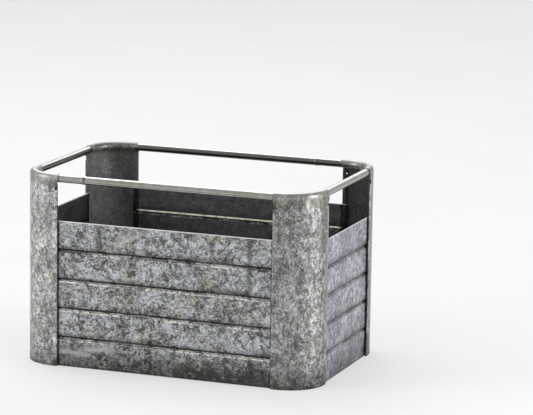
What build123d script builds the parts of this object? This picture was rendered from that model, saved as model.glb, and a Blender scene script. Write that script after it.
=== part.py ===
from build123d import *
from math import cos, radians, sin
import os

# Open-topped crate of galvanised sheet steel, in millimetres.
# Origin at the middle of the footprint, on the ground. +X along the long side,
# +Y towards the back, +Z up.

# Outside of the crate
WIDTH = 380.0
DEPTH = 252.0
HEIGHT = 236.0
CORNER_RADIUS = 46.0

# Sheet metal
SHEET = 0.8
BEND_GAP = 1.0
SLACK = 0.1
GROUND_GAP = 0.5

# Corner posts: how far each flank reaches from the crate's square corner
FRONT_FLANK = 52.5
SIDE_FLANK = 51.0
HEM_LEG = 3.5
HEM_TOP = 223.0
HEM_CREASE = 0.1
NOTCH_SIZE = 6.5

# Wall panels
FRONT_PANEL_TOP = 179.0
SIDE_PANEL_TOP = 174.5
TOP_HEM_DEPTH = 8.0
TOP_ROUNDING = 0.36
HOOK_SETBACK = 0.4
HOOK_PLAY = 0.2
GROOVE_COUNT = 4
FRONT_SPACING = FRONT_PANEL_TOP / (GROOVE_COUNT + 1)
SIDE_SPACING = SIDE_PANEL_TOP / (GROOVE_COUNT + 1)
BACK_SPACING = 36.9
GROOVE_RADIUS = 2.0
GROOVE_REACH = 0.5
LIP_FILLET = 0.75
ROOT_FILLET = 1.0

# Floor: a pan turned upside down, its flanges standing between the walls
FLOOR_FLANGE_BOTTOM = 1.0
FLOOR_TOP = 10.8
FLOOR_BEND = 1.6
FLOOR_BEAD_COUNT = 3
FLOOR_BEAD_PITCH = 62.0
FLOOR_BEAD_LENGTH = 270.0

# Rim: two bent rods, butt-welded to each other, with the posts curled round them
ROD_RADIUS = 4.75
CURL_SLACK = 0.1
CURL_END_ANGLE = -50.0
RIM_JOINT_X = 105.0
ROOT_OPENING = 1.2
ROD_CHAMFER = 1.5
BUTT_CROWN = 0.45
BUTT_TOE = 0.1
BUTT_LENGTH = 5.6
TACK_RADIUS = 2.3
TACK_MARGIN = 1.0
TACK_ANGLE = 15.0
FLOOR_TACK_RADIUS = 1.9
FLOOR_TACK_LENGTH = 9.0
FLOOR_TACK_PITCH_X = 92.0
FLOOR_TACK_PITCH_Y = 84.0

# Worked out from the above
HEM_THICK = BEND_GAP + 2 * SHEET
HEM_BEND = (HEM_THICK - HEM_CREASE) / 2
PANEL_INSET = 2 * SHEET + BEND_GAP + SLACK
PANEL_FOLD_INSET = PANEL_INSET + SHEET
PANEL_BEND_BACK = HEM_THICK / 2 + HEM_LEG + HOOK_PLAY
RIDGE_RADIUS = GROOVE_RADIUS + SHEET
CURL_INNER = ROD_RADIUS + CURL_SLACK
CURL_OUTER = CURL_INNER + SHEET
ROD_INSET = CURL_OUTER
ROD_HEIGHT = HEIGHT - CURL_OUTER
FLOOR_INSET = PANEL_FOLD_INSET + SLACK
FRONT_EDGE = WIDTH / 2 - FRONT_FLANK
SIDE_EDGE = DEPTH / 2 - SIDE_FLANK

os.makedirs("parts", exist_ok=True)


def write(part, name):
    part.label = name
    export_step(part, f"parts/{name}.step")


def flank_path(inset):
    """The front-left post's path, from its front edge round the corner to its side edge."""
    return FilletPolyline(
        (-FRONT_EDGE, -DEPTH / 2 + inset),
        (-WIDTH / 2 + inset, -DEPTH / 2 + inset),
        (-WIDTH / 2 + inset, -SIDE_EDGE),
        radius=CORNER_RADIUS - inset,
    )


def build_post():
    """The front-left corner post: one sheet with hemmed edges and a curled top."""
    front = -DEPTH / 2
    left = -WIDTH / 2
    with BuildPart() as post:
        # Sheet up to the hems' top, each edge folded back on the inside
        with BuildSketch():
            with BuildLine():
                FilletPolyline(
                    (-FRONT_EDGE - HEM_BEND - HEM_LEG, front + HEM_THICK),
                    (-FRONT_EDGE, front + HEM_THICK),
                    (-FRONT_EDGE, front),
                    (left, front),
                    (left, -SIDE_EDGE),
                    (left + HEM_THICK, -SIDE_EDGE),
                    (left + HEM_THICK, -SIDE_EDGE - HEM_BEND - HEM_LEG),
                    radius=[HEM_BEND, HEM_BEND, CORNER_RADIUS, HEM_BEND, HEM_BEND],
                )
                offset(amount=SHEET, side=Side.RIGHT)
            make_face()
        extrude(amount=HEM_TOP)
        # Single sheet from the hems' top to the middle of the rim
        with BuildSketch(Plane.XY.offset(HEM_TOP)):
            with BuildLine():
                flank_path(0)
                offset(amount=SHEET, side=Side.RIGHT)
            make_face()
        extrude(amount=ROD_HEIGHT - HEM_TOP)
        # The curl, from the outside of the rim over its top to the inside
        with BuildLine(Plane.XY.offset(ROD_HEIGHT)) as curl_path:
            flank_path(ROD_INSET)
        start = Plane(
            origin=(-FRONT_EDGE, front + ROD_INSET, ROD_HEIGHT), x_dir=(0, 1, 0), z_dir=(1, 0, 0)
        )
        with BuildSketch(start):
            with BuildLine():
                CenterArc((0, 0), CURL_OUTER, 180, CURL_END_ANGLE - 180)
                CenterArc((0, 0), CURL_INNER, 180, CURL_END_ANGLE - 180)
                Line((-CURL_OUTER, 0), (-CURL_INNER, 0))
                end = radians(CURL_END_ANGLE)
                Line(
                    (CURL_INNER * cos(end), CURL_INNER * sin(end)),
                    (CURL_OUTER * cos(end), CURL_OUTER * sin(end)),
                )
            make_face()
        sweep(path=curl_path.line)
        # A mitred notch at each edge, where the outer leaf of the hem stops under the rim
        with BuildSketch(Plane.XZ.offset(DEPTH / 2)):
            with BuildLine():
                Polyline(
                    (-FRONT_EDGE, HEM_TOP),
                    (-FRONT_EDGE, HEM_TOP - NOTCH_SIZE),
                    (-FRONT_EDGE - NOTCH_SIZE, HEM_TOP - NOTCH_SIZE),
                    close=True,
                )
            make_face()
        extrude(amount=-HEM_THICK / 2, mode=Mode.SUBTRACT)
        with BuildSketch(Plane.YZ.offset(-WIDTH / 2)):
            with BuildLine():
                Polyline(
                    (-SIDE_EDGE, HEM_TOP),
                    (-SIDE_EDGE, HEM_TOP - NOTCH_SIZE),
                    (-SIDE_EDGE - NOTCH_SIZE, HEM_TOP - NOTCH_SIZE),
                    close=True,
                )
            make_face()
        extrude(amount=HEM_THICK / 2, mode=Mode.SUBTRACT)
    return post.part


def build_panel(plane, edge, top, spacing):
    """A wall panel on plane: x along the wall, y up, z outwards, origin at the foot of its face.

    edge is how far the posts' edges stand from the middle. The panel's ends run on
    behind them and hook outwards into the posts' hems. Its grooves stand spacing apart,
    and the lowest one spacing above the ground.
    """
    bend_x = edge + PANEL_BEND_BACK
    height = top - GROUND_GAP
    groove_half = edge + GROOVE_REACH
    heights = [spacing * (i + 1) for i in range(GROOVE_COUNT)]
    rows = [plane.from_local_coords(Vector(0, h, 0)) for h in heights]
    flat = Plane(origin=plane.origin, x_dir=plane.x_dir, z_dir=plane.z_dir)
    with BuildPart() as panel:
        # Ridges that the pressed grooves raise on the inside, cut off at the face
        for row in rows:
            with Locations(Plane(origin=row, x_dir=plane.x_dir, z_dir=plane.z_dir)):
                Cylinder(RIDGE_RADIUS, 2 * groove_half, rotation=(0, 90, 0))
                with Locations((-groove_half, 0), (groove_half, 0)):
                    Sphere(RIDGE_RADIUS)
        split(bisect_by=flat, keep=Keep.BOTTOM)
        # The flat sheet
        with BuildSketch(flat):
            with Locations((0, GROUND_GAP + height / 2)):
                Rectangle(2 * bend_x, height)
        extrude(amount=-SHEET)
        # The grooves themselves, with rounded ends behind the posts' edges
        for row in rows:
            with Locations(Plane(origin=row, x_dir=plane.x_dir, z_dir=plane.z_dir)):
                Cylinder(
                    GROOVE_RADIUS, 2 * groove_half, rotation=(0, 90, 0), mode=Mode.SUBTRACT
                )
                with Locations((-groove_half, 0), (groove_half, 0)):
                    Sphere(GROOVE_RADIUS, mode=Mode.SUBTRACT)
        # Soft lips on the face and soft roots on the back
        on_face = panel.faces().filter_by(plane).sort_by(Axis(plane.origin, plane.z_dir))[-1]
        lips = on_face.inner_wires().edges()
        fillet(lips, LIP_FILLET)
        back_faces = panel.faces().filter_by(plane).sort_by(Axis(plane.origin, plane.z_dir))
        roots = back_faces[0].inner_wires().edges()
        fillet(roots, ROOT_FILLET)
        # Safe edge along the top, folded flat on the inside, its corners cut back
        with BuildSketch(flat.offset(-SHEET)):
            with BuildLine():
                Polyline(
                    (-edge, top),
                    (edge, top),
                    (edge - TOP_HEM_DEPTH / 2, top - TOP_HEM_DEPTH),
                    (-edge + TOP_HEM_DEPTH / 2, top - TOP_HEM_DEPTH),
                    close=True,
                )
            make_face()
        extrude(amount=-SHEET)
        crown = (
            panel.edges()
            .filter_by(Axis(plane.origin, plane.x_dir))
            .group_by(Axis(plane.origin, plane.y_dir))[-1]
        )
        fillet(crown, TOP_ROUNDING)
        # End hems, hooked outwards round the posts' folded edges
        ends = Plane(
            origin=plane.from_local_coords(Vector(0, GROUND_GAP, 0)),
            x_dir=plane.x_dir,
            z_dir=plane.y_dir,
        )
        for side in (-1, 1):
            with BuildSketch(ends):
                with BuildLine():
                    FilletPolyline(
                        (side * (edge + HEM_THICK / 2 + SLACK + HOOK_SETBACK), -HEM_THICK + SHEET),
                        (side * (bend_x + HEM_BEND), -HEM_THICK + SHEET),
                        (side * (bend_x + HEM_BEND), SHEET),
                        (side * (bend_x - SHEET), SHEET),
                        radius=HEM_BEND,
                    )
                    offset(amount=SHEET, side=Side.RIGHT if side < 0 else Side.LEFT)
                make_face()
            extrude(amount=height)
    return panel.part


def build_floor():
    """The floor pan: a sheet with turned-down flanges and three beads pressed downwards."""
    length = WIDTH - 2 * FLOOR_INSET
    width = DEPTH - 2 * FLOOR_INSET
    radius = CORNER_RADIUS - FLOOR_INSET
    top = Plane.XY.offset(FLOOR_TOP)
    half_bead = FLOOR_BEAD_LENGTH / 2
    with BuildPart() as floor:
        with BuildSketch(Plane.XY.offset(FLOOR_FLANGE_BOTTOM)):
            RectangleRounded(length, width, radius)
        extrude(amount=FLOOR_TOP - FLOOR_FLANGE_BOTTOM)
        fillet(floor.faces().sort_by(Axis.Z)[-1].edges(), FLOOR_BEND)
        with BuildSketch(Plane.XY.offset(FLOOR_FLANGE_BOTTOM)):
            RectangleRounded(length - 2 * SHEET, width - 2 * SHEET, radius - SHEET)
        extrude(amount=FLOOR_TOP - SHEET - FLOOR_FLANGE_BOTTOM, mode=Mode.SUBTRACT)
        with Locations(top):
            with GridLocations(0, FLOOR_BEAD_PITCH, 1, FLOOR_BEAD_COUNT):
                Cylinder(RIDGE_RADIUS, FLOOR_BEAD_LENGTH, rotation=(0, 90, 0))
                with Locations((-half_bead, 0), (half_bead, 0)):
                    Sphere(RIDGE_RADIUS)
        split(bisect_by=top, keep=Keep.BOTTOM)
        with Locations(top):
            with GridLocations(0, FLOOR_BEAD_PITCH, 1, FLOOR_BEAD_COUNT):
                Cylinder(
                    GROOVE_RADIUS, FLOOR_BEAD_LENGTH, rotation=(0, 90, 0), mode=Mode.SUBTRACT
                )
                with Locations((-half_bead, 0), (half_bead, 0)):
                    Sphere(GROOVE_RADIUS, mode=Mode.SUBTRACT)
        fillet(floor.faces().sort_by(Axis.Z)[-1].inner_wires().edges(), LIP_FILLET)
    return floor.part


def build_rod():
    """One bent half of the rim, from the joint in the front rail round the right side."""
    rail_x = WIDTH / 2 - ROD_INSET
    rail_y = DEPTH / 2 - ROD_INSET
    with BuildPart() as rod:
        with BuildLine(Plane.XY.offset(ROD_HEIGHT)) as path:
            FilletPolyline(
                (-RIM_JOINT_X + ROOT_OPENING / 2, -rail_y),
                (rail_x, -rail_y),
                (rail_x, rail_y),
                (RIM_JOINT_X + ROOT_OPENING / 2, rail_y),
                radius=CORNER_RADIUS - ROD_INSET,
            )
        with BuildSketch(Plane(origin=path.line @ 0, z_dir=path.line % 0)):
            Circle(ROD_RADIUS)
        sweep(path=path.line)
        chamfer(rod.faces().filter_by(Axis.X).edges(), ROD_CHAMFER)
    return rod.part


def build_butt_weld(rods):
    """The bead that fills the V between the rods' ends in the front rail."""
    rail_y = DEPTH / 2 - ROD_INSET
    half = BUTT_LENGTH / 2
    toe = ROD_RADIUS + BUTT_TOE
    joint = Plane(origin=(-RIM_JOINT_X, -rail_y, ROD_HEIGHT), x_dir=(1, 0, 0), z_dir=(0, -1, 0))
    with BuildPart() as weld:
        with BuildSketch(joint):
            with BuildLine():
                Polyline((half, toe), (half, 0), (-half, 0), (-half, toe))
                ThreePointArc((-half, toe), (0, ROD_RADIUS + BUTT_CROWN), (half, toe))
            make_face()
        revolve(axis=Axis(joint.origin, (1, 0, 0)))
        add(rods, mode=Mode.SUBTRACT)
    return weld.part


def build_rim_tacks():
    """Two tack welds that hold the front-left post's curl to the rods, one at each end."""
    rail_x = WIDTH / 2 - ROD_INSET
    rail_y = DEPTH / 2 - ROD_INSET
    reach = CURL_INNER * cos(radians(TACK_ANGLE))
    rise = CURL_INNER * sin(radians(TACK_ANGLE))
    bare = TACK_RADIUS + TACK_MARGIN
    with BuildPart() as tacks:
        with Locations(
            (-FRONT_EDGE, -rail_y + reach, ROD_HEIGHT + rise),
            (-rail_x + reach, -SIDE_EDGE, ROD_HEIGHT + rise),
        ):
            Sphere(TACK_RADIUS, rotation=(45, 45, 0))
        with Locations((-FRONT_EDGE, -rail_y, ROD_HEIGHT)):
            Cylinder(ROD_RADIUS, 2 * bare, rotation=(0, 90, 0), mode=Mode.SUBTRACT)
        with Locations((-FRONT_EDGE - bare / 2, -rail_y, ROD_HEIGHT)):
            Cylinder(CURL_OUTER, bare, rotation=(0, 90, 0), mode=Mode.SUBTRACT)
        with Locations((-rail_x, -SIDE_EDGE, ROD_HEIGHT)):
            Cylinder(ROD_RADIUS, 2 * bare, rotation=(90, 0, 0), mode=Mode.SUBTRACT)
        with Locations((-rail_x, -SIDE_EDGE - bare / 2, ROD_HEIGHT)):
            Cylinder(CURL_OUTER, bare, rotation=(90, 0, 0), mode=Mode.SUBTRACT)
    return tacks.part


def build_floor_tacks():
    """Short weld beads in the valley between the floor's bent edge and the walls."""
    inside_x = WIDTH / 2 - PANEL_FOLD_INSET
    inside_y = DEPTH / 2 - PANEL_FOLD_INSET
    spots = []
    for side in (-1, 1):
        for step in (-1, 0, 1):
            spots.append(((step * FLOOR_TACK_PITCH_X, side * inside_y), (0, -side, 0)))
        for step in (-0.5, 0.5):
            spots.append(((side * inside_x, step * FLOOR_TACK_PITCH_Y), (-side, 0, 0)))
    with BuildPart() as tacks:
        for (x, y), inwards in spots:
            wall_foot = Plane(
                origin=(x, y, FLOOR_TOP),
                x_dir=inwards,
                z_dir=Vector(*inwards).cross(Vector(0, 0, 1)),
            )
            # Section: x from the wall's inside face, y up from the floor's top
            with BuildSketch(wall_foot):
                with Locations((FLOOR_TACK_RADIUS / 2, 0)):
                    Circle(FLOOR_TACK_RADIUS)
                with Locations((0, -SHEET)):
                    Rectangle(
                        2 * FLOOR_TACK_RADIUS,
                        3 * FLOOR_TACK_RADIUS,
                        align=(Align.MIN, Align.MIN),
                        mode=Mode.INTERSECT,
                    )
                with BuildLine(mode=Mode.PRIVATE) as floor_edge:
                    FilletPolyline(
                        (SLACK, -2 * FLOOR_BEND),
                        (SLACK, 0),
                        (4 * FLOOR_TACK_RADIUS, 0),
                        radius=FLOOR_BEND,
                    )
                    Polyline(
                        (4 * FLOOR_TACK_RADIUS, 0),
                        (4 * FLOOR_TACK_RADIUS, -2 * FLOOR_BEND),
                        (SLACK, -2 * FLOOR_BEND),
                    )
                make_face(floor_edge.edges(), mode=Mode.SUBTRACT)
            extrude(amount=FLOOR_TACK_LENGTH / 2, both=True)
    return tacks.part


# Corner posts and the welds at their curls, mirrored from the front-left corner
front_left_post = build_post()
front_left_tacks = build_rim_tacks()
corners = {
    "front_left": [],
    "front_right": [Plane.YZ],
    "back_left": [Plane.XZ],
    "back_right": [Plane.YZ, Plane.XZ],
}
for corner, mirrors in corners.items():
    with BuildPart() as corner_post:
        add(front_left_post)
        for plane in mirrors:
            mirror(about=plane, mode=Mode.REPLACE)
    write(corner_post.part, f"corner_post_{corner}")
    with BuildPart() as rim_tacks:
        add(front_left_tacks)
        for plane in mirrors:
            mirror(about=plane, mode=Mode.REPLACE)
    write(rim_tacks.part, f"rim_tacks_{corner}")

# Wall panels
walls = {
    "panel_front": (Vector(0, -1, 0), DEPTH, FRONT_EDGE, FRONT_PANEL_TOP, FRONT_SPACING),
    "panel_back": (Vector(0, 1, 0), DEPTH, FRONT_EDGE, FRONT_PANEL_TOP, BACK_SPACING),
    "panel_left": (Vector(-1, 0, 0), WIDTH, SIDE_EDGE, SIDE_PANEL_TOP, SIDE_SPACING),
    "panel_right": (Vector(1, 0, 0), WIDTH, SIDE_EDGE, SIDE_PANEL_TOP, SIDE_SPACING),
}
for name, (outwards, across, edge, top, spacing) in walls.items():
    foot = outwards * (across / 2 - PANEL_INSET)
    along = Vector(0, 0, 1).cross(outwards)
    wall = Plane(origin=foot, x_dir=along, z_dir=outwards)
    write(build_panel(wall, edge, top, spacing), name)

# Floor pan and its welds
write(build_floor(), "floor_pan")
write(build_floor_tacks(), "floor_tacks")

# Rim: the same bent rod twice, turned half a turn, and the two butt welds
right_rod = build_rod()
with BuildPart() as left_rod:
    add(right_rod, rotation=(0, 0, 180))
write(right_rod, "rim_rod_right")
write(left_rod.part, "rim_rod_left")
front_weld = build_butt_weld([right_rod, left_rod.part])
with BuildPart() as back_weld:
    add(front_weld, rotation=(0, 0, 180))
write(front_weld, "rim_butt_weld_front")
write(back_weld.part, "rim_butt_weld_back")
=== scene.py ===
from collections import namedtuple
from math import radians

import bpy
from mathutils import Matrix, Vector


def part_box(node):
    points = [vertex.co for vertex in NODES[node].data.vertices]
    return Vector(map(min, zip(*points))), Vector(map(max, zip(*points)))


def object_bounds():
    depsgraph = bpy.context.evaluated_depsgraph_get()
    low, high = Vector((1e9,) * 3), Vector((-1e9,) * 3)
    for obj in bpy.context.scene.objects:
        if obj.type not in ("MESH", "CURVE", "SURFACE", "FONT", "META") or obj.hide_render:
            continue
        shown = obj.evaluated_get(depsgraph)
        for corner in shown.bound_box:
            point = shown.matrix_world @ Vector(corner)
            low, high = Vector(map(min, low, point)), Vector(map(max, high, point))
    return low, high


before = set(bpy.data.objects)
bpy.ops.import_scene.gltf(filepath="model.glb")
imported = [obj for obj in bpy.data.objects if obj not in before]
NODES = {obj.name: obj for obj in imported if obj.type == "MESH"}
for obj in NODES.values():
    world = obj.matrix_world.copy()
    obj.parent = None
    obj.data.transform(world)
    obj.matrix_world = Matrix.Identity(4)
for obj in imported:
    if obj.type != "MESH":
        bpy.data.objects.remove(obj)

# Galvanised sheet-steel bottle crate, weathered. Metres; +X along the long side, +Y back, +Z up.

# Sizes that the CAD pieces give
CAD_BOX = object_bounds()
LOW, HIGH = (Vector(v) for v in CAD_BOX)
FRONT_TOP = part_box("panel_front")[1][2]
SIDE_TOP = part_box("panel_right")[1][2]
FRONT_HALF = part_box("corner_post_front_right")[0][0]
SIDE_HALF = -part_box("corner_post_front_right")[1][1]
ROD_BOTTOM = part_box("rim_rod_right")[0][2]
ROD_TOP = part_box("rim_rod_right")[1][2]

# The sheets: the crate's corner radius, the front panel's face and how deep a panel's face lies
OUTLINE_RADIUS = 0.046
FRONT_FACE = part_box("panel_front")[0][1] + 0.0018
FACE_DEPTH = 0.0027
# Outline depths where the outside of the sheet ends, and the same distance round a groove's middle
PANEL_SKIN = 0.0031
POST_SKIN = 0.0004
BOWL_SKIN = 0.0024
SKIN_BLUR = 0.0002
CURL_START = ROD_BOTTOM - 0.001
HEM_TOP = 0.2235

# Pressed grooves: how many a wall has, and a wall's own spacing, axis, half width and top
GROOVES = 4
Wall = namedtuple("Wall", "pitch axis half top")
FRONT_WALL = Wall(FRONT_TOP / (GROOVES + 1), "x", FRONT_HALF, FRONT_TOP)
BACK_WALL = Wall(0.0369, "x", FRONT_HALF, FRONT_TOP)
SIDE_WALL = Wall(SIDE_TOP / (GROOVES + 1), "y", SIDE_HALF, SIDE_TOP)

# An ellipse of colour on a piece, broken up by noise of scale grain where that isn't 0
Stain = namedtuple("Stain", "place size colour amount grain", defaults=(0,))

# Pressed beads in the floor: their spacing across it and half their length
BEAD_PITCH = 0.062
BEAD_HALF = 0.135

# Heights above a groove's middle where its painted shade, dirt and painted highlights lie, each as a
# soft step up and down
SHADE_ABOVE_GROOVE = ((-0.0010, 0.0010), (0.0010, 0.0105))
GROOVE_DIRT_AND_SHADE = ((-0.0010, 0.0002), (0.0018, 0.0030))
LIP_HIGHLIGHT_BAND = ((-0.0042, -0.0030), (-0.0014, -0.0006))
RIDGE_HIGHLIGHT_BAND = ((0.0002, 0.0010), (0.0022, 0.0032))
RIDGE_DEPTH = (FACE_DEPTH + 0.0012, FACE_DEPTH + 0.0018)

# Distances from a floor bead's middle line, and from the outline for the dirt along the walls
BEAD_DIRT = (0.0012, 0.0022)
BEAD_WEAR = ((0.0018, 0.0024), (0.0030, 0.0040))
FLOOR_EDGE_DIRT = (0.008, 0.020)

# Where the rim's left length (along x) and its back length (along y) get a painted dark reflection, the
# heights of that painted reflection, of the painted shade underneath and of the long forming line, and
# the rings at the posts
DARK_REFLECTION_LEFT = (-0.172, -0.150)
DARK_REFLECTION_BACK = (0.085, 0.105)
ROD_DARK_REFLECTION_HEIGHT = (ROD_TOP - 0.0016, ROD_TOP - 0.0006)
ROD_UNDERSIDE_SHADE_HEIGHT = (ROD_BOTTOM + 0.0004, ROD_BOTTOM + 0.0020)
ROD_LINE_HEIGHT = ROD_BOTTOM + 0.0034
ROD_LINE_WIDTH = (0.0002, 0.0007)
ROD_RING = ((-0.0016, -0.0006), (0.001, 0.002))

# How deep the pits, the dents and the edges of the crystals are
PIT_DEPTH = 0.00010
DENT_DEPTH = 0.0030
CRYSTAL_EDGE_DEPTH = 0.00006

# Tints that darken what is under them
OLIVE_TINT = (0.89, 0.90, 0.75)
VEIN_TINT = (0.30, 0.31, 0.28)
RUN_TINT = (0.45, 0.46, 0.43)
FOOT_TINT = (0.25, 0.26, 0.24)
# Darkens near the ground, and as painted shade above the grooves
GROUND_DARK_AND_SHADE_TINT = (0.22, 0.23, 0.205)
# Darkens dirt with painted shade in the grooves, and dirt in the floor's beads
GROOVE_TINT = (0.14, 0.145, 0.13)
SEAM_TINT = (0.10, 0.105, 0.095)
FLOOR_EDGE_TINT = (0.20, 0.20, 0.175)
# Painted dark reflection on the rim's left and back lengths
ROD_DARK_REFLECTION_TINT = (0.24, 0.24, 0.23)
# Painted shade under the rim
ROD_UNDERSIDE_SHADE_TINT = (0.22, 0.22, 0.20)
ROD_LINE_TINT = (0.4, 0.4, 0.38)
ROD_RING_TINT = (0.16, 0.16, 0.14)

# Paints that cover what is under them
OLIVE_FLECK = (0.165, 0.160, 0.115)
# Painted highlight along the grooves' lower lips
GROOVE_LIP_HIGHLIGHT = (0.90, 0.885, 0.79)
# Painted highlight on the ridges inside
INNER_RIDGE_HIGHLIGHT = (0.90, 0.88, 0.76)
# Painted highlight along the panels' top edges
PANEL_EDGE_HIGHLIGHT = (0.72, 0.72, 0.71)
BEAD_LIP = (0.62, 0.62, 0.57)
BROWNED = (0.19, 0.175, 0.125)
# Painted highlight along the highest line of the rim, the curls and the welds
CREST_HIGHLIGHT = (0.88, 0.87, 0.85)


# ---------------------------------------------------------------- shader helpers

class Graph:
    """A material's node tree, with one short method for each kind of node."""

    def __init__(self, name):
        self.material = bpy.data.materials.new(name)
        self.material.use_nodes = True
        self.tree = self.material.node_tree
        self.shader = self.tree.nodes["Principled BSDF"]
        self.place = self.tree.nodes.new("ShaderNodeTexCoord").outputs["Object"]

    def node(self, kind, inputs, **settings):
        made = self.tree.nodes.new(kind)
        for key, value in settings.items():
            setattr(made, key, value)
        for key, value in inputs.items():
            if isinstance(value, bpy.types.NodeSocket):
                self.tree.links.new(value, made.inputs[key])
            else:
                made.inputs[key].default_value = value
        return made

    # Textures

    def stretch(self, scale, shift):
        """The place in the crate, moved and scaled, as a texture's vector."""
        moved = self.node("ShaderNodeMapping", {
            "Vector": self.place, "Location": shift, "Scale": scale,
        })
        return moved.outputs["Vector"]

    def noise(self, scale, detail=4.0, rough=0.55, twist=0.0, where=None):
        made = self.node("ShaderNodeTexNoise", {
            "Vector": self.place if where is None else where,
            "Scale": scale, "Detail": detail, "Roughness": rough, "Distortion": twist,
        })
        return made.outputs["Fac"]

    def cells(self, scale, where, feature="F1"):
        """Voronoi cells, as a node with a Distance and, for F1, a Color output."""
        return self.node("ShaderNodeTexVoronoi", {"Vector": where, "Scale": scale}, feature=feature)

    # Numbers

    def math(self, operation, a, b=0.0, clamp=False):
        made = self.node("ShaderNodeMath", {0: a, 1: b}, operation=operation, use_clamp=clamp)
        return made.outputs["Value"]

    def add(self, *terms):
        total = terms[0]
        for term in terms[1:]:
            total = self.math("ADD", total, term)
        return total

    def times(self, *factors):
        product = factors[0]
        for factor in factors[1:]:
            product = self.math("MULTIPLY", product, factor)
        return product

    def less(self, a, b):
        return self.math("SUBTRACT", a, b)

    def absolute(self, value):
        return self.math("ABSOLUTE", value)

    def hypotenuse(self, a, b):
        squares = self.add(self.math("POWER", a, 2.0), self.math("POWER", b, 2.0))
        return self.math("SQRT", squares)

    def span(self, value, low, high, to_low=0.0, to_high=1.0):
        """value from low to high, brought to to_low to to_high with soft ends."""
        made = self.node("ShaderNodeMapRange", {
            "Value": value, "From Min": low, "From Max": high,
            "To Min": to_low, "To Max": to_high,
        }, interpolation_type="SMOOTHSTEP", clamp=True)
        return made.outputs["Result"]

    def band(self, value, rise, fall):
        """1 from rise to fall, which are (start, end) of soft steps up and down, and 0 elsewhere."""
        return self.times(self.span(value, *rise), self.span(value, *fall, 1.0, 0.0))

    # Vectors and colours

    def vector(self, operation, a, b):
        made = self.node("ShaderNodeVectorMath", {0: a, 1: b}, operation=operation)
        return made.outputs["Vector"]

    def axes(self):
        made = self.node("ShaderNodeSeparateXYZ", {"Vector": self.place})
        return made.outputs["X"], made.outputs["Y"], made.outputs["Z"]

    def channel(self, colour, name):
        return self.node("ShaderNodeSeparateColor", {"Color": colour}).outputs[name]

    def ramp(self, value, *stops):
        """A colour ramp through (position, grey or colour) stops."""
        made = self.node("ShaderNodeValToRGB", {"Fac": value})
        band = made.color_ramp
        while len(band.elements) < len(stops):
            band.elements.new(1.0)
        for element, (position, colour) in zip(band.elements, stops):
            element.position = position
            rgb = (colour,) * 3 if isinstance(colour, (int, float)) else colour
            element.color = (*rgb, 1.0)
        return made.outputs["Color"]

    def mix(self, amount, a, b, blend="MIX"):
        """Colours a and b mixed. The node keeps its RGBA sockets at 0, 6 and 7, and its result at 2."""
        made = self.node("ShaderNodeMix", {}, data_type="RGBA", blend_type=blend)
        for index, value in ((0, amount), (6, a), (7, b)):
            if isinstance(value, bpy.types.NodeSocket):
                self.tree.links.new(value, made.inputs[index])
            elif index == 0:
                made.inputs[0].default_value = value
            else:
                made.inputs[index].default_value = (*value, 1.0)
        return made.outputs[2]

    # Surface

    def bump(self, height, distance, strength=1.0, after=None):
        inputs = {"Height": height, "Distance": distance, "Strength": strength}
        if after is not None:
            inputs["Normal"] = after
        return self.node("ShaderNodeBump", inputs).outputs["Normal"]

    def finish(self, colour, rough, normal, metal):
        self.tree.links.new(colour, self.shader.inputs["Base Color"])
        self.tree.links.new(rough, self.shader.inputs["Roughness"])
        self.tree.links.new(normal, self.shader.inputs["Normal"])
        self.shader.inputs["Metallic"].default_value = metal
        return self.material


def scaled(colour, factor):
    """A colour, lighter or darker by factor, and at most 1."""
    return tuple(min(1.0, c * factor) for c in colour)


def toned(colours, factor):
    return tuple(scaled(colour, factor) for colour in colours)


# ---------------------------------------------------------------- weathered zinc

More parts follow.
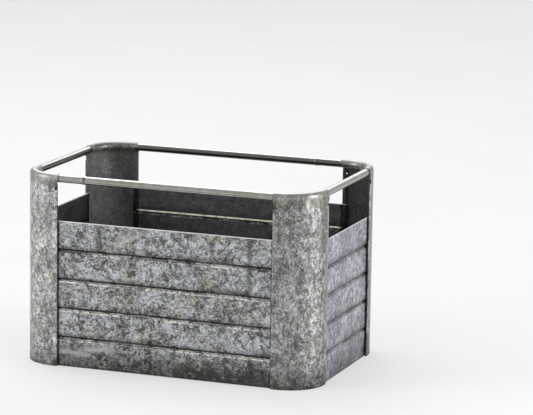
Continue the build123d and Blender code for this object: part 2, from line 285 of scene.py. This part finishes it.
class Zinc(Graph):
    """Old hot-dip zinc, built up in layers over one another.

    colour is what the layers so far give. cover tells pale bloom (1) from dark metal (0).
    """

    CRYSTAL_SIZES = (150.0, 330.0, 760.0)

    def __init__(self, name, shift, leaf):
        """shift moves the pattern, so that no two pieces look alike, and leaf stretches it."""
        super().__init__(name)
        self.x, self.y, self.z = self.axes()
        self.shift = shift
        self.still = self.stretch(leaf, shift)
        drift = self.node("ShaderNodeTexNoise", {"Vector": self.still, "Scale": 90.0, "Detail": 4.0})
        bent = self.vector("SUBTRACT", drift.outputs["Color"], (0.5, 0.5, 0.5))
        bent = self.node("ShaderNodeVectorMath", {0: bent, "Scale": 0.012}, operation="SCALE")
        # still with its straight lines bent, so that the crystals get leafy outlines
        self.leafy = self.vector("ADD", self.still, bent.outputs["Vector"])

    def darken(self, amount, tint):
        self.colour = self.mix(amount, self.colour, tint, "MULTIPLY")

    def coat(self, amount, colour):
        self.colour = self.mix(amount, self.colour, colour)

    def outline_depth(self):
        """How deep a point lies inside the crate's rounded upright outline: 0 on the posts' face."""
        sides = []
        for axis, half in ((self.x, HIGH.x), (self.y, HIGH.y)):
            reach = self.less(self.absolute(axis), half - OUTLINE_RADIUS)
            sides.append(self.math("MAXIMUM", reach, 0.0))
        return self.less(OUTLINE_RADIUS, self.hypotenuse(*sides))

    # Layers that every piece has

    def spangle(self, light, dark, patch, fineness, contrast, lift):
        """Crystals with tones of their own, and pale bloom in ragged patches of several sizes."""
        tones = [self.channel(self.cells(size, self.leafy).outputs["Color"], "Red")
                 for size in self.CRYSTAL_SIZES]
        broad = self.noise(patch * 0.35, 3.0, 0.5, 0.0, self.still)
        ragged = self.noise(patch, 7.0, 0.68, 0.5, self.still)
        speckle = self.noise(patch * fineness, 4.0, 0.65, 0.6, self.leafy)
        weights = ((ragged, 1.5), (broad, 0.1), (speckle, 2.0),
                   (tones[0], 0.26), (tones[1], 0.42), (tones[2], 0.46))
        total = self.add(*(self.times(self.less(part, 0.5), weight) for part, weight in weights))
        self.cover = self.math("ADD", self.times(total, contrast), 0.5 + lift, clamp=True)
        middle = tuple((a * b) ** 0.5 for a, b in zip(light, dark))
        self.colour = self.ramp(self.cover, (0.0, scaled(dark, 0.6)), (0.26, dark), (0.50, middle),
                                (0.74, light), (1.0, scaled(light, 1.45)))

    def olive(self, tarnish, flecks):
        """Olive tarnish in places, and a few small round flecks of it."""
        patches = self.noise(26.0, 4.0, 0.6, 0.0, self.still)
        self.darken(self.span(patches, 0.50, 0.64, 0.0, tarnish), OLIVE_TINT)
        spot = self.cells(62.0, self.leafy)
        chance = self.channel(spot.outputs["Color"], "Green")
        fleck = self.times(self.span(spot.outputs["Distance"], 0.16, 0.26, 1.0, 0.0),
                           self.span(chance, 0.80, 0.84, 0.0, flecks))
        self.coat(fleck, OLIVE_FLECK)

    def crooked_lines(self, veins):
        """Thin dark lines where crystals meet."""
        crook = self.absolute(self.less(self.noise(190.0, 3.0, 0.6, 1.2, self.leafy), 0.5))
        self.darken(self.span(crook, 0.004, 0.022, veins, 0.0), VEIN_TINT)

    def run_marks(self, runs, light):
        """Dark and pale streaks down the sheet."""
        streak = self.noise(1.0, 6.0, 0.65, 0.2, self.stretch((190, 190, 8), self.shift))
        self.darken(self.span(streak, 0.46, 0.74, 0.0, runs), RUN_TINT)
        self.coat(self.span(streak, 0.30, 0.44, runs * 0.5, 0.0), scaled(light, 1.25))

    def darken_near_ground(self, foot, ground_darkening):
        """A dark foot a few millimetres high, and darker towards the ground in a ragged band."""
        low = self.add(self.z, self.times(self.noise(38.0, 5.0, 0.65), -0.050))
        self.darken(self.span(self.z, 0.0010, 0.0045, foot, 0.0), FOOT_TINT)
        # Darker towards the ground, in a ragged band
        self.darken(self.span(low, -0.030, 0.020, ground_darkening, 0.0), GROUND_DARK_AND_SHADE_TINT)

    def stain(self, stain):
        """One Stain, with a ragged edge."""
        offset = self.vector("SUBTRACT", self.place, stain.place)
        away = self.node("ShaderNodeVectorMath", {0: self.vector("DIVIDE", offset, stain.size)},
                         operation="LENGTH").outputs["Value"]
        away = self.add(away, self.times(self.noise(150.0, 5.0, 0.7), 1.6))
        amount = self.span(away, 1.1, 2.5, stain.amount, 0.0)
        if stain.grain:
            amount = self.times(amount, self.span(self.noise(stain.grain, 4.0, 0.7, 1.0), 0.48, 0.55))
        self.coat(amount, stain.colour)

    # Layers for sheets: their inside and a wall's grooves

    def groove_gap(self, wall):
        """The height above the nearest groove's middle."""
        steps = self.math("DIVIDE", self.z, wall.pitch)
        count = self.math("MINIMUM", self.math("MAXIMUM", steps, 0.6), GROOVES + 0.4)
        return self.times(self.less(steps, self.math("ROUND", count)), wall.pitch)

    def inside(self, skin, depth, gap=None):
        """1 on the inside of a sheet and 0 on its outside and on the curl round the rim.

        gap is given for a wall, whose grooves are deeper than skin but still on the outside.
        """
        found = self.times(self.span(depth, skin - SKIN_BLUR, skin + SKIN_BLUR),
                           self.span(self.z, CURL_START - 0.001, CURL_START + 0.001, 1.0, 0.0))
        if gap is not None:
            bowl = self.hypotenuse(self.less(depth, FACE_DEPTH), gap)
            past_bowl = self.span(bowl, BOWL_SKIN - SKIN_BLUR, BOWL_SKIN + SKIN_BLUR)
            found = self.math("MINIMUM", found, past_bowl)
        return found

    def paint_inside_shade(self, inside, inside_shade):
        """The inside of a sheet, darker and calmer, as painted shade."""
        # Painted shade over the sheet's inside
        shade = self.mix(self.span(self.cover, 0.2, 0.9), inside_shade, scaled(inside_shade, 1.9))
        self.coat(self.times(inside, 0.88), shade)

    def groove_dirt_and_shade(self, gap, wander, groove_dark):
        """Painted shade in a soft band above each groove, and dark dirt in the groove with painted
        shade.
        """
        drifted = self.less(self.noise(13.0, 2.0), 0.5)
        # Painted shade in a soft band above each groove
        shade_height = self.add(gap, self.times(wander, 0.004), self.times(drifted, 0.006))
        above = self.band(shade_height, *SHADE_ABOVE_GROOVE)
        self.darken(self.times(above, 0.62), GROUND_DARK_AND_SHADE_TINT)
        # Dark dirt in the groove itself, with painted shade
        uneven = self.add(gap, self.times(wander, 0.0020))
        dirt_and_shade = self.band(uneven, *GROOVE_DIRT_AND_SHADE)
        thick = self.times(self.span(self.noise(28.0, 3.0), 0.36, 0.60, 0.62, 0.88), groove_dark)
        self.darken(self.times(dirt_and_shade, thick), GROOVE_TINT)

    def groove_highlights(self, gap, depth, inside, wander, lip_highlight, ridge_highlight):
        """Painted highlights: broken bright lengths along each groove's lower lip, and inside on its
        ridge.
        """
        uneven = self.add(gap, self.times(wander, 0.0020))
        # Painted highlight along the lower lip, in broken lengths
        lip = self.band(uneven, *LIP_HIGHLIGHT_BAND)
        broken = self.times(self.span(self.noise(17.0, 2.0), 0.43, 0.55),
                            self.span(self.noise(300.0, 4.0, 0.70, 0.8), 0.46, 0.55))
        self.coat(self.times(lip, broken, lip_highlight), GROOVE_LIP_HIGHLIGHT)
        # Painted highlight on the ridge inside
        ridge = self.times(inside, self.band(gap, *RIDGE_HIGHLIGHT_BAND))
        speckled = self.span(self.noise(190.0, 4.0, 0.75), 0.34, 0.52, 0.45, 1.0)
        raised = self.span(depth, *RIDGE_DEPTH)
        self.coat(self.times(ridge, speckled, raised, ridge_highlight), INNER_RIDGE_HIGHLIGHT)

    def wall_edges(self, wall, wander):
        """Darker seams behind the posts' edges, and a painted highlight along the top edge."""
        reach = self.absolute({"x": self.x, "y": self.y}[wall.axis])
        # Darker in the seams behind the posts' edges
        seam = self.span(self.add(reach, self.times(wander, 0.003)),
                         wall.half - 0.0030, wall.half - 0.0006)
        self.darken(self.times(seam, 0.8), SEAM_TINT)
        # Painted highlight along the panel's top edge
        edge = self.span(self.z, wall.top - 0.0012, wall.top - 0.0007)
        self.coat(self.times(edge, 0.85), PANEL_EDGE_HIGHLIGHT)

    # Layers for single pieces

    def floor_wear(self):
        """Dirt in the floor's three beads and along the walls, and bead lips scuffed pale."""
        across = self.math("DIVIDE", self.y, BEAD_PITCH)
        nearest = self.math("MAXIMUM", self.math("MINIMUM", self.math("ROUND", across), 1.0), -1.0)
        off = self.absolute(self.times(self.less(across, nearest), BEAD_PITCH))
        past = self.math("MAXIMUM", self.less(self.absolute(self.x), BEAD_HALF), 0.0)
        off = self.hypotenuse(off, past)
        self.darken(self.span(off, *BEAD_DIRT, 0.85, 0.0), GROOVE_TINT)
        lip = self.band(off, *BEAD_WEAR)
        speckled = self.span(self.noise(120.0, 4.0, 0.7), 0.40, 0.58, 0.1, 0.8)
        self.coat(self.times(lip, speckled), BEAD_LIP)
        edge = self.add(self.outline_depth(), self.times(self.noise(60.0, 4.0), 0.012))
        self.darken(self.span(edge, *FLOOR_EDGE_DIRT, 0.8, 0.0), FLOOR_EDGE_TINT)

    def rail_shade_and_lines(self):
        """A painted dark reflection on the rim's left and back lengths, painted shade under it, a dark
        line along it and dark rings at the posts.
        """
        # Painted dark reflection on the rim's left and back lengths, less at the top
        dark_reflection = self.math("MAXIMUM", self.span(self.x, *DARK_REFLECTION_LEFT, 1.0, 0.0),
                          self.span(self.y, *DARK_REFLECTION_BACK, 0.0, 0.9))
        below_top = self.span(self.z, *ROD_DARK_REFLECTION_HEIGHT, 1.0, 0.3)
        self.darken(self.times(dark_reflection, below_top, 0.86), ROD_DARK_REFLECTION_TINT)
        # Painted shade on the rim's underside
        self.darken(self.span(self.z, *ROD_UNDERSIDE_SHADE_HEIGHT, 0.8, 0.0), ROD_UNDERSIDE_SHADE_TINT)
        line = self.absolute(self.less(self.z, ROD_LINE_HEIGHT))
        self.darken(self.span(line, *ROD_LINE_WIDTH, 0.8, 0.0), ROD_LINE_TINT)
        for axis, half in ((self.x, FRONT_HALF), (self.y, SIDE_HALF)):
            ring = self.band(self.less(self.absolute(axis), half), *ROD_RING)
            self.darken(self.times(ring, 0.85), ROD_RING_TINT)

    def hand_worn(self, dark, light):
        """A post's curl, scuffed by hands like the rim, and browned zinc with drips below it."""
        top = self.span(self.z, CURL_START + 0.002, CURL_START + 0.0055)
        curl_lit = self.mix(self.span(self.cover, 0.2, 0.8), dark, light)
        self.coat(self.times(top, 0.9), curl_lit)
        dripping = self.add(self.z, self.times(self.noise(90.0, 5.0, 0.65), 0.020))
        brown = self.times(self.span(dripping, CURL_START + 0.002, CURL_START + 0.012),
                           self.less(1.0, top))
        self.coat(self.times(brown, 0.45), BROWNED)

    def paint_crest_highlight(self, crest, crest_highlight, wider_left):
        """A painted highlight along the highest line."""
        # Painted highlight along the highest line
        high = self.add(self.z, self.times(self.noise(120.0, 3.0), 0.0005))
        if wider_left:
            high = self.add(high, self.span(self.x, *DARK_REFLECTION_LEFT, 0.0008, 0.0))
        self.coat(self.span(high, crest - 0.0006, crest + 0.0001, 0.0, crest_highlight), CREST_HIGHLIGHT)

    def relief(self, pitted, smooth_top):
        """The bumps of the surface: pits, dents and the crystals' edges. A curl is smoother."""
        fine, wide = 0.6 * pitted, 0.3 * pitted
        if smooth_top:
            calm = self.span(self.z, CURL_START - 0.002, CURL_START + 0.001, 1.0, 0.3)
            fine, wide = self.times(calm, fine), self.times(calm, wide)
        edge = self.cells(self.CRYSTAL_SIZES[0], self.leafy, "DISTANCE_TO_EDGE").outputs["Distance"]
        normal = self.bump(self.noise(800.0, 4.0, 0.65), PIT_DEPTH, fine)
        dents = self.noise(30.0, 3.0, 0.5, 0.0, self.still)
        normal = self.bump(dents, DENT_DEPTH, wide, normal)
        return self.bump(self.span(edge, 0.0, 0.08), CRYSTAL_EDGE_DEPTH, 0.4, normal)


def zinc(name, shift, light, dark, leaf=(1, 1, 1), patch=60.0, fineness=6.0, contrast=1.0,
         lift=0.0, tarnish=0.8, flecks=0.5, veins=0.4, runs=0.4, foot=0.5, ground_darkening=0.75,
         skin=None, inside_shade=None, stains=(), wall=None, groove_dark=1.0, lip_highlight=1.0, ridge_highlight=0.0,
         floor=False, rail=False, curl=None, crest=0.0, crest_highlight=0.85,
         rough=(0.32, 0.58), metal=0.85, pitted=1.0):
    """A material of weathered zinc.

    light, dark: the bloom's and the bare metal's colour
    leaf, patch, fineness: the pattern's stretch, its scale, and how much finer its speckle is
    contrast, lift: how strong the pattern is, and how much it is raised towards light
    tarnish, flecks, veins, runs, foot, grime: how strong those layers are
    skin, dull: the outline depth where a sheet's outside ends, and the painted shade of its inside
    stains: a Stain for each
    wall: the Wall that a panel stands in. pressed is how dark the dirt and painted shade in its
    grooves are, and rubbed and ridged how bright the painted highlights on their lips and inside on
    their ridges are
    floor, rail: true for the floor pan and for the rim's rods
    curl: dark and light colour of the hand-scuffed top of a post
    crest, shine: the height of the highest line, and how bright the painted highlight along it is
    rough, metal, pitted: roughness of bare metal and bloom, metalness, and how deep the pits are
    """
    g = Zinc(name, shift, leaf)
    g.spangle(light, dark, patch, fineness, contrast, lift)
    g.olive(tarnish, flecks)
    g.crooked_lines(veins)
    g.run_marks(runs, light)
    g.darken_near_ground(foot, ground_darkening)
    rough_value = g.span(g.cover, 0.2, 0.9, *rough)
    if skin is not None:
        depth = g.outline_depth()
        gap = g.groove_gap(wall) if wall else None
        inside = g.inside(skin, depth, gap)
        g.paint_inside_shade(inside, inside_shade)
        rough_value = g.add(rough_value, g.times(inside, 0.30))
    for stain in stains:
        g.stain(stain)
    if wall:
        wander = g.less(g.noise(60.0, 4.0, 0.6), 0.5)
        g.groove_dirt_and_shade(gap, wander, groove_dark)
        g.groove_highlights(gap, depth, inside, wander, lip_highlight, ridge_highlight)
        g.wall_edges(wall, wander)
    if floor:
        g.floor_wear()
    if rail:
        g.rail_shade_and_lines()
    if curl:
        g.hand_worn(*curl)
    if crest:
        g.paint_crest_highlight(crest, crest_highlight, wider_left=rail)
    return g.finish(g.colour, rough_value, g.relief(pitted, smooth_top=bool(curl)), metal)


# ---------------------------------------------------------------- panels

PALE, SHADE = (0.42, 0.43, 0.455), (0.098, 0.101, 0.094)
SIDE_PALE, SIDE_SHADE = (0.43, 0.43, 0.49), (0.20, 0.20, 0.23)

# A pale smear at the bottom left of the front, made of ellipses side by side
SMEAR_SIZE, SMEAR_COLOUR, SMEAR_AMOUNT = (0.011, 0.02, 0.0030), (0.46, 0.46, 0.44), 0.62
SMEAR_PLACES = ((-0.127, 0.0187), (-0.106, 0.0171), (-0.090, 0.0243), (-0.074, 0.0261))

FRONT_STAINS = (
    # Dark streaks under the top edge, left and right
    Stain((-0.084, FRONT_FACE, 0.158), (0.004, 0.02, 0.022), (0.060, 0.066, 0.052), 0.70),
    Stain((0.109, FRONT_FACE, 0.148), (0.003, 0.02, 0.034), (0.070, 0.075, 0.062), 0.60),
    # Dirt splashed up from the ground, most of it on the right
    Stain((0.072, FRONT_FACE, 0.004), (0.036, 0.02, 0.016), (0.035, 0.037, 0.034), 0.85, 90),
    Stain((0.040, FRONT_FACE, -0.002), (0.120, 0.02, 0.020), (0.042, 0.044, 0.039), 0.90, 38),
    Stain((0.085, FRONT_FACE, 0.012), (0.060, 0.02, 0.020), (0.045, 0.047, 0.042), 0.70, 75),
    *(Stain((x, FRONT_FACE, z), SMEAR_SIZE, SMEAR_COLOUR, SMEAR_AMOUNT) for x, z in SMEAR_PLACES),
)


def side_zinc(name, shift, inside_shade):
    """Zinc for a short side's panel: bluer and flatter than the front, with hardly any painted
    highlight on its grooves' lips.
    """
    return zinc(name, shift, SIDE_PALE, SIDE_SHADE, leaf=(1, 1, 0.7), patch=48.0, contrast=1.05,
                lift=0.05, tarnish=0.2, skin=PANEL_SKIN, inside_shade=inside_shade, wall=SIDE_WALL, groove_dark=1.2,
                lip_highlight=0.12, rough=(0.42, 0.6))


# Each wall's inside gets a painted shade of its own, darkest on the left wall
panels = {
    "front": zinc("zinc_panel_front", (0.31, 0.0, 0.07), PALE, SHADE, lift=0.12, ground_darkening=0.95,
                  skin=PANEL_SKIN, inside_shade=(0.085, 0.090, 0.088), stains=FRONT_STAINS,
                  wall=FRONT_WALL),
    "back": zinc("zinc_panel_back", (0.83, 0.2, 0.57), PALE, SHADE,
                 skin=PANEL_SKIN, inside_shade=(0.082, 0.087, 0.087), wall=BACK_WALL, ridge_highlight=1.0),
    "right": side_zinc("zinc_panel_right", (1.7, 0.9, 1.31), inside_shade=(0.050, 0.054, 0.052)),
    "left": side_zinc("zinc_panel_left", (3.7, 2.9, 0.31), inside_shade=(0.016, 0.018, 0.018)),
}


# ---------------------------------------------------------------- posts

POST_COLOURS = ((0.385, 0.39, 0.391), (0.160, 0.164, 0.158))
HAND_WORN = ((0.235, 0.228, 0.210), (0.39, 0.38, 0.35))
# Painted shade on the front posts' insides
FRONT_POST_INSIDE_SHADE = (0.055, 0.058, 0.055)
# Painted shade in the notches at the front posts' tops
NOTCH_SIZE, NOTCH_COLOUR, NOTCH_AMOUNT = (0.003, 0.003, 0.003), (0.055, 0.050, 0.040), 0.85

FRONT_RIGHT_DRIP = (
    Stain((0.1763, -0.112, 0.2242), (0.0022, 0.003, 0.0060), (0.72, 0.72, 0.70), 0.9),
)
BACK_LEFT_SPECKS = (
    Stain((-0.176, 0.112, 0.203), (0.006, 0.006, 0.011), (0.45, 0.45, 0.44), 0.8, 420),
)


def notch_shade(side):
    """Painted shade in the notches at both edges of the front post on side (-1 left, 1 right)."""
    return tuple(
        Stain((side * x, y, HEM_TOP), NOTCH_SIZE, NOTCH_COLOUR, NOTCH_AMOUNT)
        for x, y in ((FRONT_HALF + 0.001, LOW.y), (HIGH.x, -SIDE_HALF - 0.001))
    )


def post_zinc(name, shift, inside_shade, tone=1.0, curl_lit=1.0, stains=(), contrast=1.15):
    """Zinc for one corner post: tone brightens its face as painted light, and worn darkens its curl as
    painted shade and dims the curl's painted highlight.
    """
    light, dark = toned(POST_COLOURS, tone)
    return zinc(name, shift, light, dark, leaf=(1, 1, 0.7), patch=70.0, fineness=8.5,
                contrast=contrast, tarnish=0.5, skin=POST_SKIN, inside_shade=inside_shade, stains=stains,
                curl=toned(HAND_WORN, curl_lit), crest=HIGH.z, crest_highlight=0.9 * curl_lit, rough=(0.32, 0.52))


# Each post's inside gets a painted shade of its own, darkest at the back right
posts = {
    # tone lightens the front posts' faces as painted light, the left one most
    "front_left": post_zinc("zinc_post_front_left", (2.3, 1.9, 0.4), FRONT_POST_INSIDE_SHADE,
                            tone=1.42, stains=notch_shade(-1), contrast=1.05),
    "front_right": post_zinc("zinc_post_front_right", (1.3, 2.4, 0.8), FRONT_POST_INSIDE_SHADE,
                             tone=1.02, stains=notch_shade(1) + FRONT_RIGHT_DRIP),
    # The back posts' curls are darker, as painted shade, with a dimmer painted highlight
    "back_left": post_zinc("zinc_post_back_left", (3.1, 0.7, 1.4), (0.130, 0.137, 0.128),
                           curl_lit=0.5, stains=BACK_LEFT_SPECKS),
    "back_right": post_zinc("zinc_post_back_right", (0.9, 3.2, 2.6), (0.034, 0.036, 0.035),
                            curl_lit=0.8),
}


# ---------------------------------------------------------------- floor, rim and welds

floor_zinc = zinc("zinc_floor", (4.1, 3.3, 0.9), (0.25, 0.26, 0.26), (0.12, 0.125, 0.12),
                  contrast=0.8, foot=0.0, ground_darkening=0.0, floor=True)
rim_zinc = zinc("zinc_rim", (5.2, 1.1, 2.2), (0.450, 0.435, 0.412), (0.330, 0.318, 0.298),
                contrast=0.35, flecks=0.0, veins=0.1, runs=0.1, ground_darkening=0.0, rail=True,
                crest=ROD_TOP, rough=(0.20, 0.28), metal=0.9, pitted=0.25)
weld_zinc = zinc("zinc_welds", (6.3, 4.1, 3.2), (0.30, 0.285, 0.26), (0.13, 0.12, 0.10),
                 patch=260.0, contrast=0.7, ground_darkening=0.0, crest=ROD_TOP, rough=(0.30, 0.5))


def paint(node, material):
    """Puts one material on every slot of a CAD node."""
    mesh = NODES[node].data
    for index in range(len(mesh.materials)):
        mesh.materials[index] = material


for wall_name, material in panels.items():
    paint(f"panel_{wall_name}", material)
for corner, material in posts.items():
    paint(f"corner_post_{corner}", material)
    paint(f"rim_tacks_{corner}", weld_zinc)
for side in ("left", "right"):
    paint(f"rim_rod_{side}", rim_zinc)
for side in ("front", "back"):
    paint(f"rim_butt_weld_{side}", weld_zinc)
paint("floor_pan", floor_zinc)
paint("floor_tacks", weld_zinc)


# ---------------------------------------------------------------- stage, lights, camera

STAGE_HALF = 14.0
STAGE_GLOW = 0.47

# A long lens at the front right, a little above the crate
CAMERA_PLACE = (1.3469, -3.4087, 0.9029)
CAMERA_YAW, CAMERA_PITCH, CAMERA_ROLL = radians(20.34), radians(11.07), radians(0.91)
CAMERA_LENS = 206.4


def build_stage():
    """A wide pale floor under the crate, glowing a little so that it stays even."""
    mesh = bpy.data.meshes.new("stage_floor")
    corners = [(x * STAGE_HALF, y * STAGE_HALF, 0)
               for x, y in ((-1, -1), (1, -1), (1, 1), (-1, 1))]
    mesh.from_pydata(corners, [], [(0, 1, 2, 3)])
    floor = bpy.data.objects.new("stage_floor", mesh)
    bpy.context.scene.collection.objects.link(floor)
    g = Graph("stage_paper")
    tone = g.ramp(g.noise(3.0, 2.0), (0.3, 0.39), (0.7, 0.41))
    g.tree.links.new(tone, g.shader.inputs["Base Color"])
    g.shader.inputs["Emission Color"].default_value = (1.0, 1.0, 1.0, 1.0)
    g.shader.inputs["Emission Strength"].default_value = STAGE_GLOW
    g.shader.inputs["Roughness"].default_value = 0.9
    g.shader.inputs["Specular IOR Level"].default_value = 0.2
    mesh.materials.append(g.material)


def build_world(ground, horizon, zenith):
    """Even studio light, with its own brightness below, level and overhead."""
    world = bpy.data.worlds.new("studio")
    bpy.context.scene.world = world
    world.use_nodes = True
    tree = world.node_tree
    place = tree.nodes.new("ShaderNodeTexCoord")
    split = tree.nodes.new("ShaderNodeSeparateXYZ")
    band = tree.nodes.new("ShaderNodeMapRange")
    band.inputs["From Min"].default_value = -1.0
    ramp = tree.nodes.new("ShaderNodeValToRGB")
    stops = ((0.45, ground), (0.52, horizon), (1.0, zenith))
    while len(ramp.color_ramp.elements) < len(stops):
        ramp.color_ramp.elements.new(1.0)
    for element, (position, grey) in zip(ramp.color_ramp.elements, stops):
        element.position = position
        element.color = (grey, grey, grey, 1.0)
    tree.links.new(place.outputs["Generated"], split.inputs["Vector"])
    tree.links.new(split.outputs["Z"], band.inputs["Value"])
    tree.links.new(band.outputs["Result"], ramp.inputs["Fac"])
    tree.links.new(ramp.outputs["Color"], tree.nodes["Background"].inputs["Color"])


def softbox(name, place, size, watts):
    """A rectangular area light at place, aimed at the middle of the crate."""
    lamp = bpy.data.lights.new(name, "AREA")
    lamp.shape = "RECTANGLE"
    lamp.size, lamp.size_y = size
    lamp.energy = watts
    box = bpy.data.objects.new(name, lamp)
    box.location = place
    aim = (LOW + HIGH) / 2 - Vector(place)
    box.rotation_euler = aim.to_track_quat("-Z", "Y").to_euler()
    bpy.context.scene.collection.objects.link(box)


def build_camera(place, yaw, pitch, roll, lens):
    """A camera that looks along yaw (from +Y towards -X) and pitch (downwards)."""
    data = bpy.data.cameras.new("camera")
    data.lens = lens
    data.sensor_width = 36.0
    data.clip_end = 100.0
    camera = bpy.data.objects.new("camera", data)
    turn = (Matrix.Rotation(yaw, 4, "Z") @ Matrix.Rotation(radians(90) - pitch, 4, "X")
            @ Matrix.Rotation(roll, 4, "Z"))
    camera.matrix_world = Matrix.Translation(place) @ turn
    bpy.context.scene.collection.objects.link(camera)
    bpy.context.scene.camera = camera


build_stage()
build_world(ground=0.6, horizon=0.68, zenith=0.55)
softbox("right_window", (2.7, 0.0, 0.8), (0.6, 1.4), 42.0)
softbox("left_window", (-2.7, -1.7, 1.3), (1.6, 2.0), 46.0)
softbox("overhead", (-1.1, 1.0, 2.8), (2.2, 2.4), 40.0)
softbox("behind", (0.0, 4.2, 2.0), (1.8, 0.9), 7.0)
build_camera(CAMERA_PLACE, CAMERA_YAW, CAMERA_PITCH, CAMERA_ROLL, CAMERA_LENS)
bpy.context.scene.view_settings.view_transform = "Standard"
